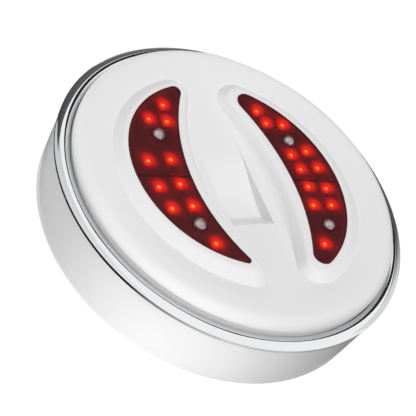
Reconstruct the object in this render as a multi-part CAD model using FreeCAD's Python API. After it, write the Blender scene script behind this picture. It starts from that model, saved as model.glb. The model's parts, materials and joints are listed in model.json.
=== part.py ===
import FreeCAD, Part
import collections
import math
import os

# Eye massager: a round face cup that rests on its back, with two lit crescents round a nose pocket.
# Millimetres. The origin is at the centre of the back, +Z points out of the face, +Y to the forehead.

# Housing
case_radius = 74.7
case_wall = 2.4
wall_height = 24.8
foot_chamfer = 0.5
shelf_width = 6.1
shelf_thickness = 2.0
cover_lip_width = 2.0
cover_lip_height = 1.4

# Chrome trim ring
trim_overhang = 0.3
trim_width = 5.6
trim_lip_height = 1.2
trim_crest_height = 2.4
trim_inner_height = 1.3
trim_rib_wall = 1.5
trim_rib_depth = 3.5
trim_clearance = 0.1

# Face plate
face_gap = 0.4
face_wall = 2.0
face_sink = 9.0
shoulder_round = 4.0
dish_rise = 6.5
dish_curve_radius = 212.0
seal_thickness = 1.0
seal_margin = 0.5

# Nose pocket: steep at the tip of the nose, with a long ramp towards the forehead
pocket_depth = 4.4
pocket_strip = 2.0
pocket_side_radius = 300.0
pocket_tip = 12.0
pocket_tip_run = 6.5
pocket_ramp_foot = -4.0
pocket_ramp_run = 27.0
pocket_crest_run = 6.0
pocket_crest_round = 60.0
ledge_width = 2.0
ledge_round = 2.0
pocket_floor_round = 4.0
pocket_ramp_round = 40.0

# Windows and the crescents that carry them; each window is cut a little off the common outline
window_outer_radius = 46.8
window_inner_radius = 90.7
window_width = 23.5
right_window_swell = 2.9
right_window_shift = -3.9
right_window_inner_radius = 82.0
right_window_inner_step = 0.4
right_window_inner_lift = -1.0
right_window_upper_corner = 4.6
right_window_lower_corner = 4.0
left_window_swell = -1.6
left_window_shift = 2.9
left_window_lift = 2.7
left_window_inner_radius = 89.5
left_window_inner_lift = 0.9
left_window_upper_corner = 2.6
left_window_lower_corner = 1.8
window_rise = 6.0
window_curve_radius = 376.0
lens_thickness = 1.6
lens_clearance = 0.12
lens_seat_gap = 0.05
seam_gap = 0.2
right_seam_place = -2.9
right_seam_tilt = 8.0
left_seam_place = 0.7
left_seam_tilt = 2.0
window_ledge_width = 1.5
window_ledge_thickness = 1.6
crescent_rise = 3.9
crescent_lip = 0.2
crescent_inner_lip = 1.7
crescent_edge_round = 2.4
crescent_foot_depth = 0.5
crescent_base_margin = 1.0
crescent_base_inner_radius = 90.0
crescent_inner_run = 11.0
crescent_base_corner = 16.0
crescent_wall_run = 3.2
crescent_hollow_depth = 2.8
crescent_hollow_inner_run = 8.0

# Sections of a crescent: down from its top, and in from the edge of its top
crescent_section_shares = [(0.0, 0.0), (0.55, 0.39), (0.83, 0.63), (1.0, 1.0)]

# Lamps and their boards
lamp_board_drop = 8.7
board_thickness = 1.6
lamp_board_margin = 3.2
lamp_board_corner = 5.0
lamp_gap = 0.5
lamp_hole_gap = 0.3
red_lamp_radius = 1.5
red_lamp_height = 5.3
red_flange_radius = 1.9
clear_lamp_radius = 2.5
clear_lamp_height = 5.6
clear_lamp_rise = 0.4
clear_flange_radius = 2.9
lamp_flange_thickness = 0.9
lead_radius = 0.3
lead_spacing = 1.6
lamp_boss_margin = 4.0
lamp_boss_angle = 38.0
lamp_boss_radius = 2.4

# Lamp places: along the window from its middle, then across it from the inner edge
left_red_lamp_shares = [
    (0.82, 0.57), (0.65, 0.75), (0.64, 0.28), (0.19, 0.71), (0.22, 0.26),
    (-0.08, 0.67), (-0.04, 0.24), (-0.30, 0.66), (-0.27, 0.22), (-0.66, 0.37),
]
left_clear_lamp_shares = [(0.46, 0.48), (-0.48, 0.41)]
right_red_lamp_shares = [
    (0.79, 0.49), (0.65, 0.38), (0.62, 0.76), (0.27, 0.36), (0.30, 0.74), (0.10, 0.37),
    (0.10, 0.74), (-0.10, 0.35), (-0.14, 0.71), (-0.31, 0.31), (-0.33, 0.70), (-0.74, 0.46),
]
right_clear_lamp_shares = [(0.41, 0.46), (-0.56, 0.51)]

# Back cover
cover_thickness = 2.5
cover_gap = 0.3
cover_boss_margin = 12.3
cover_boss_height = 6.0
cover_boss_radius = 4.2
cover_boss_angle = 45.0
face_boss_radius = 3.4
counterbore_depth = 3.4
counterbore_clearance = 0.3

# Screws
cover_screw_radius = 1.2
cover_screw_length = 12.0
cover_head_radius = 2.7
cover_head_thickness = 1.8
small_screw_radius = 0.9
small_screw_length = 4.5
small_head_radius = 1.7
small_head_thickness = 1.1
screw_clearance = 0.25
pilot_clearance = 0.05
recess_width = 0.6
recess_depth = 0.7

# Main board and what stands on it
main_board_height = 5.7
main_board_gap = 3.9
main_board_half_width = 34.0
main_board_depth = 38.4
board_boss_radius = 2.6
board_boss_inset = 4.0
board_boss_depth = 14.4
chip_size = 10.0
chip_thickness = 1.6
charger_size = 5.0
connector_length = 8.0
connector_height = 4.0
chip_depth = 26.4

# Charging socket and charge light
socket_width = 8.94
socket_height = 3.2
socket_length = 8.6
socket_recess = 1.2
socket_wall = 0.3
socket_clearance = 0.3
tongue_width = 6.7
tongue_thickness = 0.7
tongue_length = 5.0
light_radius = 1.1
light_length = 4.6
light_angle = 8.0
light_clearance = 0.08

# Buttons and switches
button_angle = 16.0
button_width = 12.0
button_height = 4.6
button_proud = 0.5
button_travel = 0.8
button_clearance = 0.3
button_ear = 1.2
button_ear_thickness = 1.4
button_pad_radius = 1.6
switch_width = 6.0
switch_depth = 4.0
switch_height = 4.2
plunger_rise = 2.1
plunger_radius = 1.2
plunger_clearance = 0.25
plunger_reach = 1.9
plunger_depth = 1.2

# Battery
battery_length = 50.0
battery_width = 36.0
battery_thickness = 7.0
battery_round = 2.5
battery_centre = -4.0
pad_thickness = 0.8
pad_margin = 3.0
rib_thickness = 1.4
rib_height = 4.0
rib_gap = 0.3
rib_length = 9.0

# Shaking motors
motor_gap = 17.0
motor_radius = 6.0
motor_front = -10.0
motor_length = 20.0
motor_nose_radius = 2.6
motor_nose_length = 1.4
motor_cap_step = 0.6
motor_cap_length = 3.0
cradle_floor = 1.2
cradle_rise = 5.0
cradle_width = 15.0
cradle_thickness = 2.0
cradle_end_inset = 3.0
seat_clearance = 0.12
shaft_radius = 1.0
shaft_clearance = 0.06
shaft_depth = 8.0
weight_gap = 1.2
weight_radius = 5.2
weight_hub_radius = 2.2
weight_length = 7.0
weight_press = 0.02
clamp_width = 7.0
clamp_thickness = 1.0
clamp_foot = 7.4
clamp_boss_radius = 2.6

# One overrun serves every cut, and one tolerance every match of places
overrun = 1.0
same_place = 0.01

# Turn that keeps the seam of a spun bowl out of the crescents
seam_turn = 90

# Worked out from the sizes above
case_inner_radius = case_radius - case_wall
trim_outer_radius = case_radius + trim_overhang
trim_inner_radius = trim_outer_radius - trim_width
skirt_radius = trim_inner_radius - face_gap
face_base_height = wall_height - face_sink
shelf_top = face_base_height - seal_thickness
shelf_inner_radius = case_inner_radius - shelf_width
dish_floor_height = face_base_height + dish_rise
pocket_floor = dish_floor_height - pocket_depth
window_inner_reach = window_outer_radius - window_width
window_height = dish_floor_height + window_rise
crescent_top_height = window_height + crescent_rise
crescent_base_outer_radius = skirt_radius - crescent_base_margin
crescent_base_height = dish_floor_height - crescent_foot_depth
crescent_base_inner_reach = window_inner_reach - crescent_inner_run
pocket_half_width = crescent_base_inner_reach - pocket_strip
lamp_board_height = window_height - lamp_board_drop
lamp_board_top = lamp_board_height + board_thickness
lamp_boss_circle = window_outer_radius + lamp_boss_margin
lamp_board_outer_radius = lamp_boss_circle + lamp_board_margin
cover_boss_circle = case_inner_radius - cover_boss_margin
main_board_top = main_board_height + board_thickness
main_board_radius = case_inner_radius - main_board_gap
main_board_back = main_board_radius - main_board_depth
board_boss_front = main_board_radius - board_boss_depth
chip_row = main_board_radius - chip_depth
motor_offset = battery_length / 2 + motor_gap
button_level = main_board_top + plunger_rise
motor_level = cover_thickness + cradle_floor + motor_radius
switch_front = main_board_radius - plunger_reach
up = FreeCAD.Vector(0, 0, 1)
origin = FreeCAD.Vector(0, 0, 0)
sideways = FreeCAD.Vector(1, 0, 0)
forward = FreeCAD.Vector(0, 1, 0)


# Small helpers

def point(x, y, z=0.0):
    return FreeCAD.Vector(x, y, z)


def line(start, end):
    return Part.LineSegment(start, end).toShape()


def arc(start, middle, end):
    return Part.Arc(start, middle, end).toShape()


def cylinder(radius, low, high, x=0.0, y=0.0):
    return Part.makeCylinder(radius, high - low, point(x, y, low))


def lying_cylinder(radius, back, front, x, z):
    return Part.makeCylinder(radius, front - back, point(x, back, z), forward)


def block(x_low, x_high, y_low, y_high, z_low, z_high):
    return Part.makeBox(x_high - x_low, y_high - y_low, z_high - z_low, point(x_low, y_low, z_low))


def tube(outer_radius, inner_radius, low, high):
    return cylinder(outer_radius, low, high).cut(cylinder(inner_radius, low - overrun, high + overrun))


def spun(edges):
    return Part.Face(Part.Wire(edges)).revolve(origin, up, 360)


def spun_polygon(corners):
    spots = [point(radius, 0, height) for radius, height in corners]
    return Part.Face(Part.makePolygon(spots + spots[:1])).revolve(origin, up, 360)


def mirrored(shape):
    return shape.mirror(origin, sideways)


def turned(shape, degrees):
    copy = shape.copy()
    copy.rotate(origin, up, degrees)
    return copy


def on_circle(radius, degrees):
    angle = math.radians(degrees)
    return radius * math.cos(angle), radius * math.sin(angle)


def round_edges(solid, radius, edges):
    return solid.makeFillet(radius, edges)


def edges_across(solid, along, height):
    """Edges that run across, at a place along and at a height."""
    return [
        edge for edge in solid.Edges
        if all(abs(vertex.Y - along) < same_place for vertex in edge.Vertexes)
        and all(abs(vertex.Z - height) < same_place for vertex in edge.Vertexes)
    ]


def joined(shapes):
    return shapes[0].fuse(shapes[1:]).removeSplitter()


def group(solids):
    return Part.makeCompound(solids)


# Surfaces shared by the face plate, the lenses and the lamps

def window_surface(radius):
    return window_height + window_curve_radius - math.sqrt(window_curve_radius ** 2 - radius ** 2)


def dish_surface(radius):
    return dish_floor_height + dish_curve_radius - math.sqrt(dish_curve_radius ** 2 - radius ** 2)


def crescent_slope(radius):
    """Height of a crescent's outer side at a radius."""
    top_radius = window_outer_radius + crescent_lip
    share = (radius - top_radius) / (crescent_base_outer_radius - top_radius)
    return crescent_top_height - share * (crescent_top_height - crescent_base_height)


def above_window(depth):
    """Everything above the windows' common bowl, lowered by a depth."""
    curve = window_curve_radius + depth
    centre = window_height + window_curve_radius
    top = window_surface(skirt_radius) + overrun
    half = skirt_radius / 2
    lowest = point(0, 0, centre - curve)
    middle = point(half, 0, centre - math.sqrt(curve ** 2 - half ** 2))
    edge = point(skirt_radius, 0, centre - math.sqrt(curve ** 2 - skirt_radius ** 2))
    rim = point(skirt_radius, 0, top)
    axis_top = point(0, 0, top)
    bowl = spun([arc(lowest, middle, edge), line(edge, rim), line(rim, axis_top), line(axis_top, lowest)])
    return turned(bowl, seam_turn)


# Two arcs of a right crescent, with the radii of its upper and lower tip
ArcPair = collections.namedtuple("ArcPair", "outer_radius outer_centre inner_radius inner_centre corners")


def common_pair(outer_radius, inner_radius, inner_reach, corner):
    """Crescent that is even about the line across the face."""
    inner_centre = point(inner_reach - inner_radius, 0)
    return ArcPair(outer_radius, origin, inner_radius, inner_centre, (corner, corner))


def right_window():
    reach = window_inner_reach + right_window_inner_step
    return ArcPair(
        window_outer_radius + right_window_swell, point(right_window_shift, 0), right_window_inner_radius,
        point(reach - right_window_inner_radius, right_window_inner_lift),
        (right_window_upper_corner, right_window_lower_corner))


def left_window():
    """The left window, as it is before it is mirrored to the left."""
    return ArcPair(
        window_outer_radius + left_window_swell, point(left_window_shift, left_window_lift),
        left_window_inner_radius,
        point(window_inner_reach - left_window_inner_radius, left_window_inner_lift),
        (left_window_upper_corner, left_window_lower_corner))


def grown(pair, outwards, inwards):
    """Crescent whose outer arc is moved outwards and whose inner arc is moved inwards."""
    corners = [corner + min(outwards, inwards) for corner in pair.corners]
    return ArcPair(
        pair.outer_radius + outwards, pair.outer_centre,
        pair.inner_radius - inwards, pair.inner_centre, corners)


def part_way(start, end, outer_share, inner_share):
    """Crescent between two others, with one share for its outer arc and one for its inner arc."""
    def blend(low, high, share):
        return low + (high - low) * share

    return ArcPair(
        blend(start.outer_radius, end.outer_radius, outer_share),
        blend(start.outer_centre, end.outer_centre, outer_share),
        blend(start.inner_radius, end.inner_radius, inner_share),
        blend(start.inner_centre, end.inner_centre, inner_share),
        [blend(low, high, outer_share) for low, high in zip(start.corners, end.corners)])


def crescent(pair, height):
    """Closed outline of a right crescent: two arcs that meet in rounded tips."""
    outer_radius, outer_centre, inner_radius, inner_centre, corners = pair
    across = inner_centre - outer_centre
    direction = point(across.x, across.y).normalize()
    ends = []
    for side, corner in zip((1, -1), corners):
        near = outer_radius - corner
        along = (near ** 2 - (inner_radius + corner) ** 2 + across.Length ** 2) / (2 * across.Length)
        rise = side * math.sqrt(near ** 2 - along ** 2)
        tip = outer_centre + direction * along + point(direction.y, -direction.x) * rise
        outwards = (tip - outer_centre).normalize()
        inwards = (inner_centre - tip).normalize()
        endwards = (outwards + inwards).normalize()
        ends.append([tip + up * height + turn * corner for turn in (outwards, endwards, inwards)])
    upper, lower = ends
    outer_middle = outer_centre + point(outer_radius, 0, height)
    inner_middle = inner_centre + point(inner_radius, 0, height)
    return Part.Wire([
        arc(lower[0], outer_middle, upper[0]),
        arc(upper[0], upper[1], upper[2]),
        arc(upper[2], inner_middle, lower[2]),
        arc(lower[2], lower[1], lower[0]),
    ])


def window_prism(window, offset):
    face = Part.Face(crescent(grown(window, offset, offset), face_base_height))
    return face.extrude(up * (crescent_top_height + overrun - face_base_height))


def mound(window):
    """Raised crescent: an even slope on its outer side and a hollow curve on its inner side."""
    top = grown(window, crescent_lip, crescent_inner_lip)
    base = common_pair(
        crescent_base_outer_radius, crescent_base_inner_radius,
        crescent_base_inner_reach, crescent_base_corner)
    drop = crescent_top_height - crescent_base_height
    sections = [
        crescent(part_way(top, base, down, inwards), crescent_top_height - down * drop)
        for down, inwards in crescent_section_shares
    ]
    straight, curved = sections[:2], sections[1:]
    crest = Part.makeLoft(straight, True, True).cut(above_window(0))
    top_face = max(crest.Faces, key=lambda face: face.CenterOfMass.z)
    crest = crest.makeFillet(crescent_edge_round, top_face.Edges)
    return crest.fuse(Part.makeLoft(curved, True, False))


def mound_hollow(window):
    """Space behind a raised crescent."""
    depth = lens_thickness + window_ledge_thickness
    top = grown(window, crescent_lip - crescent_wall_run, crescent_inner_lip - crescent_wall_run)
    base = common_pair(
        crescent_base_outer_radius - crescent_wall_run, crescent_base_inner_radius,
        window_inner_reach - crescent_hollow_inner_run, crescent_base_corner)
    low = dish_floor_height - crescent_hollow_depth
    return Part.makeLoft([crescent(base, low), crescent(top, crescent_top_height)], True, True).cut(
        above_window(depth))


# Face plate

def dish_form(inset, base_height):
    """Round plate with a bowl-shaped face and a rounded shoulder, inset for the hollow behind it."""
    bowl_centre = dish_floor_height + dish_curve_radius
    bowl_radius = dish_curve_radius + inset
    turn_radius = shoulder_round - inset
    turn_x = skirt_radius - shoulder_round
    turn_z = bowl_centre - math.sqrt((dish_curve_radius + shoulder_round) ** 2 - turn_x ** 2)
    inwards = point(-turn_x, 0, bowl_centre - turn_z).normalize()
    halfway = (inwards + sideways).normalize()
    turn = point(turn_x, 0, turn_z)
    lowest = point(0, 0, bowl_centre - bowl_radius)
    meeting = turn + inwards * turn_radius
    half = meeting.x / 2
    middle = point(half, 0, bowl_centre - math.sqrt(bowl_radius ** 2 - half ** 2))
    side = turn + sideways * turn_radius
    foot = point(side.x, 0, base_height)
    axis_foot = point(0, 0, base_height)
    return spun([
        arc(lowest, middle, meeting),
        arc(meeting, turn + halfway * turn_radius, side),
        line(side, foot),
        line(foot, axis_foot),
        line(axis_foot, lowest),
    ])


def pocket_plan(grow):
    """Tall block between two long arcs beside the feet of the crescents."""
    half_width = pocket_half_width + grow
    arc_centre = half_width - pocket_side_radius
    end = skirt_radius
    end_x = arc_centre + math.sqrt(pocket_side_radius ** 2 - end ** 2)
    low = face_base_height - 2 * overrun
    right = [point(end_x, -end, low), point(half_width, 0, low), point(end_x, end, low)]
    left = [point(-spot.x, spot.y, spot.z) for spot in right]
    face = Part.Face(Part.Wire([
        arc(right[0], right[1], right[2]), line(right[2], left[2]),
        arc(left[2], left[1], left[0]), line(left[0], right[0]),
    ]))
    return face.extrude(up * (crescent_top_height - low))


def pocket_form(grow):
    """Sunken space for the nose, grown and lowered for the wall behind it."""
    tip_end = pocket_tip + pocket_tip_run + grow
    ledge_end = tip_end + ledge_width
    ramp_end = pocket_ramp_foot + pocket_ramp_run
    ramp_crest = ramp_end - pocket_crest_run
    ledge_height = dish_surface(ledge_end)
    ramp_height = dish_surface(ramp_end) - grow
    dish_slope = ramp_end / math.sqrt(dish_curve_radius ** 2 - ramp_end ** 2)
    crest_height = ramp_height - pocket_crest_run * dish_slope
    floor = pocket_floor - grow
    top = crescent_top_height + overrun
    corners = [
        (-ledge_end, ledge_height), (-tip_end, ledge_height), (-pocket_tip - grow, floor),
        (pocket_ramp_foot, floor), (ramp_crest, crest_height), (ramp_end, ramp_height),
        (ramp_end, top), (-ledge_end, top),
    ]
    spots = [point(-case_radius, along, height) for along, height in corners]
    solid = Part.Face(Part.makePolygon(spots + spots[:1])).extrude(sideways * (2 * case_radius))
    solid = round_edges(solid, ledge_round, edges_across(solid, -tip_end, ledge_height))
    solid = round_edges(solid, pocket_floor_round, edges_across(solid, -pocket_tip - grow, floor))
    solid = round_edges(solid, pocket_ramp_round, edges_across(solid, pocket_ramp_foot, floor))
    solid = round_edges(solid, pocket_crest_round, edges_across(solid, ramp_crest, crest_height))
    return solid.common(pocket_plan(grow))


def lamp_boss_places():
    return [on_circle(lamp_boss_circle, turn) for turn in (-lamp_boss_angle, 0, lamp_boss_angle)]


def cover_boss_places():
    return [on_circle(cover_boss_circle, cover_boss_angle + quarter * 90) for quarter in range(4)]


def crescent_pair(shape):
    return [shape, mirrored(shape)]


def both_windows(make):
    """Solids made for the right window and for the left one."""
    return [make(right_window()), mirrored(make(left_window()))]


def window_rebate(window):
    return window_prism(window, 0).common(above_window(lens_thickness + lens_seat_gap))


def window_opening(window):
    return window_prism(window, -window_ledge_width)


def face_plate():
    outside = dish_form(0, face_base_height).fuse(both_windows(mound)).cut(pocket_form(0))
    hollow = dish_form(face_wall, face_base_height - overrun).fuse(both_windows(mound_hollow))
    plate = outside.cut(hollow.cut(pocket_form(face_wall)))
    plate = plate.cut(both_windows(window_rebate) + both_windows(window_opening))

    bosses = []
    pilots = []
    pilot_radius = small_screw_radius + pilot_clearance
    lamp_boss_top = crescent_slope(lamp_boss_circle) - face_wall / 2
    for x, y in lamp_boss_places():
        boss = cylinder(lamp_boss_radius, lamp_board_top, lamp_boss_top, x, y)
        pilot = cylinder(pilot_radius, lamp_board_top - overrun, lamp_board_top + small_screw_length, x, y)
        bosses += crescent_pair(boss)
        pilots += crescent_pair(pilot)
    for x, y in cover_boss_places():
        pilot_top = counterbore_depth + cover_screw_length + overrun
        boss_top = dish_surface(cover_boss_circle) - face_wall / 2
        screw_pilot = cover_screw_radius + pilot_clearance
        bosses.append(cylinder(face_boss_radius, cover_boss_height, boss_top, x, y))
        pilots.append(cylinder(screw_pilot, cover_boss_height - overrun, pilot_top, x, y))
    return plate.fuse(bosses).cut(pilots)


def seam_side(side, place, tilt):
    """All the space on one side of a window's seam, which may lie at a tilt."""
    far = 2 * window_outer_radius
    near, end = sorted([side * seam_gap / 2, side * far])
    high = crescent_top_height + 2 * overrun
    space = turned(block(-far, far, near, end, face_base_height - overrun, high), -tilt)
    return space.translated(point((window_outer_radius + window_inner_reach) / 2, place))


def lens_halves(window, clear_shares, seam_place, seam_tilt):
    """Two panels of a window, upper then lower, with a hole for each clear lamp."""
    pane = window_prism(window, -lens_clearance).common(above_window(lens_thickness)).cut(above_window(0))
    hole_radius = clear_lamp_radius + lamp_hole_gap
    holes = []
    for along, across in clear_shares:
        x, y = lamp_place(along, across)
        holes.append(cylinder(hole_radius, face_base_height, crescent_top_height, x, y))
    pane = pane.cut(holes)
    return [pane.common(seam_side(side, seam_place, seam_tilt)) for side in (1, -1)]


def face_seal():
    inner = skirt_radius - face_wall - seal_margin
    return tube(skirt_radius + seal_margin, inner, shelf_top, face_base_height)


# Housing and trim

def housing():
    inner = case_inner_radius
    lip = inner - cover_lip_width
    lip_top = cover_thickness + cover_lip_height
    shelf_low = shelf_top - shelf_thickness
    shell = spun_polygon([
        (case_radius - foot_chamfer, 0), (case_radius, foot_chamfer), (case_radius, wall_height),
        (inner, wall_height), (inner, shelf_top), (shelf_inner_radius, shelf_top),
        (shelf_inner_radius, shelf_low), (inner, shelf_low), (inner, lip_top), (lip, lip_top),
        (lip, cover_thickness), (inner, cover_thickness), (inner, 0),
    ])
    socket_hole = grown_pill(socket_width, socket_height, socket_clearance, socket_level())
    button_hole = grown_pill(button_width, button_height, button_clearance, button_level)
    light_hole = turned(light_rod(light_clearance), light_angle)
    button_holes = [turned(button_hole, turn) for turn in (button_angle, -button_angle)]
    return shell.cut([socket_hole, light_hole] + button_holes)


def trim_ring():
    outer = trim_outer_radius
    inner = trim_inner_radius
    rib_outer = case_inner_radius - trim_clearance
    rib_inner = rib_outer - trim_rib_wall
    rib_foot = wall_height - trim_rib_depth
    lip = point(outer, 0, wall_height + trim_lip_height)
    crest = point((outer + inner) / 2, 0, wall_height + trim_crest_height)
    inside = point(inner, 0, wall_height + trim_inner_height)
    corners = [
        inside, point(inner, 0, wall_height), point(rib_inner, 0, wall_height), point(rib_inner, 0, rib_foot),
        point(rib_outer, 0, rib_foot), point(rib_outer, 0, wall_height), point(outer, 0, wall_height), lip,
    ]
    edges = [line(start, end) for start, end in zip(corners, corners[1:])]
    return spun(edges + [arc(lip, crest, inside)])


# Wall fittings, made facing the forehead and turned into place

def pill(width, height, level):
    """Flat bar with round ends that runs out through the wall."""
    end_radius = height / 2
    flat = width / 2 - end_radius
    back = case_inner_radius - socket_length
    low = level - end_radius
    high = level + end_radius
    face = Part.Face(Part.Wire([
        line(point(-flat, back, low), point(flat, back, low)),
        arc(point(flat, back, low), point(flat + end_radius, back, level), point(flat, back, high)),
        line(point(flat, back, high), point(-flat, back, high)),
        arc(point(-flat, back, high), point(-flat - end_radius, back, level), point(-flat, back, low)),
    ]))
    return face.extrude(forward * (case_radius + overrun - back))


def grown_pill(width, height, clearance, level):
    return pill(width + 2 * clearance, height + 2 * clearance, level)


def between(shape, inner_radius, outer_radius):
    """Part of a wall fitting that lies between two radii."""
    high = wall_height
    return shape.common(cylinder(outer_radius, 0, high)).cut(cylinder(inner_radius, 0, high))


def button():
    ear_outer = case_inner_radius - button_clearance
    ear_inner = ear_outer - button_ear_thickness
    cap = between(pill(button_width, button_height, button_level), ear_inner, case_radius + button_proud)
    ears = between(pill(button_width + 2 * button_ear, button_height, button_level), ear_inner, ear_outer)
    pad = lying_cylinder(button_pad_radius, main_board_radius, ear_outer, 0, button_level)
    return joined([cap, ears, pad])


def switch_body():
    half = switch_width / 2
    back = switch_front - switch_depth
    top = main_board_top + switch_height
    body = block(-half, half, back, switch_front, main_board_top, top)
    hole_back = switch_front - plunger_depth - button_travel - plunger_clearance
    hole_radius = plunger_radius + plunger_clearance
    return body.cut(lying_cylinder(hole_radius, hole_back, switch_front + overrun, 0, button_level))


def switch_plunger():
    return lying_cylinder(plunger_radius, switch_front - plunger_depth, main_board_radius, 0, button_level)


def socket_level():
    return main_board_top + socket_height / 2


def charging_socket():
    mouth = case_radius - socket_recess
    back = mouth - socket_length
    limits = block(-socket_width, socket_width, back, mouth, 0, wall_height)
    inner_width = socket_width - 2 * socket_wall
    inner_height = socket_height - 2 * socket_wall
    hollow = block(-socket_width, socket_width, back + socket_wall, mouth + overrun, 0, wall_height)
    shell = pill(socket_width, socket_height, socket_level()).common(limits)
    shell = shell.cut(pill(inner_width, inner_height, socket_level()).common(hollow))
    half_tongue = tongue_thickness / 2
    tongue = block(
        -tongue_width / 2, tongue_width / 2, back, back + tongue_length,
        socket_level() - half_tongue, socket_level() + half_tongue)
    return joined([shell, tongue])


def light_rod(clearance):
    tip = case_radius + clearance
    return lying_cylinder(light_radius + clearance, tip - light_length, tip, 0, button_level)


# Boards and lamps

def lamp_board():
    pair = common_pair(lamp_board_outer_radius, window_inner_radius, window_inner_reach, lamp_board_corner)
    board = Part.Face(crescent(pair, lamp_board_height)).extrude(up * board_thickness)
    hole_radius = small_screw_radius + screw_clearance
    holes = [
        cylinder(hole_radius, lamp_board_height - overrun, lamp_board_top + overrun, x, y)
        for x, y in lamp_boss_places()
    ]
    return board.cut(holes)


def lamp_place(along_share, across_share):
    """Place of a lamp behind the right window."""
    tip_y = math.sqrt(window_outer_radius ** 2 - (window_inner_reach / 2) ** 2)
    y = along_share * tip_y
    inner_x = window_inner_reach - window_inner_radius + math.sqrt(window_inner_radius ** 2 - y ** 2)
    outer_x = math.sqrt(window_outer_radius ** 2 - y ** 2)
    return inner_x + across_share * (outer_x - inner_x), y


def lamp(place, rise, radius, height, flange_radius):
    """Domed lamp on two leads, with its crown at a rise over the window's surface."""
    x, y = place
    crown = window_surface(math.hypot(x, y)) + rise
    seat = crown - height
    bulb = Part.makeSphere(radius, point(x, y, crown - radius))
    body = cylinder(radius, seat, crown - radius, x, y)
    flange = cylinder(flange_radius, seat, seat + lamp_flange_thickness, x, y)
    leads = [
        cylinder(lead_radius, lamp_board_top, seat + lamp_flange_thickness, x, y + side * lead_spacing / 2)
        for side in (-1, 1)
    ]
    return joined([body, bulb, flange] + leads)


def red_lamps(shares):
    """Lamps behind the window."""
    rise = -lens_thickness - lamp_gap
    return group([
        lamp(lamp_place(along, across), rise, red_lamp_radius, red_lamp_height, red_flange_radius)
        for along, across in shares
    ])


def clear_lamps(shares):
    """Lamps whose domes stand in the holes of the window."""
    return group([
        lamp(lamp_place(along, across), clear_lamp_rise,
             clear_lamp_radius, clear_lamp_height, clear_flange_radius)
        for along, across in shares
    ])


def board_boss_places():
    x = main_board_half_width - board_boss_inset
    back = main_board_back + board_boss_inset
    return [(side * x, y) for y in (back, board_boss_front) for side in (-1, 1)]


def main_board():
    disc = cylinder(main_board_radius, main_board_height, main_board_top)
    limits = block(
        -main_board_half_width, main_board_half_width, main_board_back, case_radius,
        main_board_height, main_board_top)
    hole_radius = small_screw_radius + screw_clearance
    holes = [
        cylinder(hole_radius, main_board_height - overrun, main_board_top + overrun, x, y)
        for x, y in board_boss_places()
    ]
    return disc.common(limits).cut(holes)


def board_parts():
    """Controller, charger and battery connector on the main board."""
    half = chip_size / 2
    chip_top = main_board_top + chip_thickness
    controller = block(-half, half, chip_row - half, chip_row + half, main_board_top, chip_top)
    charger = block(
        chip_size, chip_size + charger_size, chip_row, chip_row + charger_size, main_board_top, chip_top)
    connector = block(
        -chip_size - connector_length, -chip_size, chip_row - half, chip_row,
        main_board_top, main_board_top + connector_height)
    return group([controller, charger, connector])


# Screws

def screw(x, y, seat, radius, length, head_radius, head_thickness, rises):
    """Screw whose head lies against a seat; its shank rises from the seat or drops from it."""
    direction = 1 if rises else -1
    axis = up * direction
    shank = Part.makeCylinder(radius, length, point(x, y, seat), axis)
    head = Part.makeCylinder(head_radius, head_thickness, point(x, y, seat), axis * -1)
    outer = seat - direction * head_thickness
    depths = sorted([outer - direction * overrun, outer + direction * recess_depth])
    half = recess_width / 2
    slots = [
        block(x - head_radius / 2, x + head_radius / 2, y - half, y + half, depths[0], depths[1]),
        block(x - half, x + half, y - head_radius / 2, y + head_radius / 2, depths[0], depths[1]),
    ]
    return shank.fuse(head).cut(slots).removeSplitter()


def small_screw(x, y, seat, rises):
    return screw(
        x, y, seat, small_screw_radius, small_screw_length, small_head_radius, small_head_thickness, rises)


def cover_screws():
    return group([
        screw(x, y, counterbore_depth, cover_screw_radius, cover_screw_length,
              cover_head_radius, cover_head_thickness, True)
        for x, y in cover_boss_places()
    ])


def lamp_board_screws():
    right = [small_screw(x, y, lamp_board_height, True) for x, y in lamp_boss_places()]
    return group(right + [mirrored(solid) for solid in right])


def board_screws():
    return group([small_screw(x, y, main_board_top, False) for x, y in board_boss_places()])


def clamp_foot_places():
    middle = motor_front + motor_length / 2
    reach = motor_radius + clamp_thickness + clamp_foot / 2
    return [(motor_offset + side * reach, middle) for side in (-1, 1)]


def clamp_seat():
    return motor_level - clamp_thickness


def clamp_screws():
    right = [small_screw(x, y, motor_level, False) for x, y in clamp_foot_places()]
    return group(right + [mirrored(solid) for solid in right])


# Motors, made on the right

def motor():
    """Motor can with a stepped end cap and a nose that carries the shaft."""
    back = motor_front + motor_length
    can = lying_cylinder(motor_radius, motor_front, back - motor_cap_length, motor_offset, motor_level)
    cap = lying_cylinder(
        motor_radius - motor_cap_step, back - motor_cap_length, back, motor_offset, motor_level)
    nose = lying_cylinder(
        motor_nose_radius, motor_front - motor_nose_length, motor_front, motor_offset, motor_level)
    bore = lying_cylinder(
        shaft_radius + shaft_clearance, motor_front - motor_nose_length - overrun,
        motor_front + shaft_depth + shaft_clearance, motor_offset, motor_level)
    return joined([can, cap, nose]).cut(bore)


def weight_back():
    return motor_front - motor_nose_length - weight_gap


def motor_shaft():
    return lying_cylinder(
        shaft_radius, weight_back() - weight_length, motor_front + shaft_depth, motor_offset, motor_level)


def weight():
    """Half-round weight with a round hub on the shaft; the heavy side hangs down at rest."""
    back = weight_back()
    front = back - weight_length
    low = motor_level - weight_radius
    half = lying_cylinder(weight_radius, front, back, motor_offset, motor_level).common(
        block(motor_offset - weight_radius, motor_offset + weight_radius, front, back, low, motor_level))
    hub = lying_cylinder(weight_hub_radius, front, back, motor_offset, motor_level)
    bore = lying_cylinder(
        shaft_radius + weight_press, front - overrun, back + overrun, motor_offset, motor_level)
    return joined([half, hub]).cut(bore)


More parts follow.
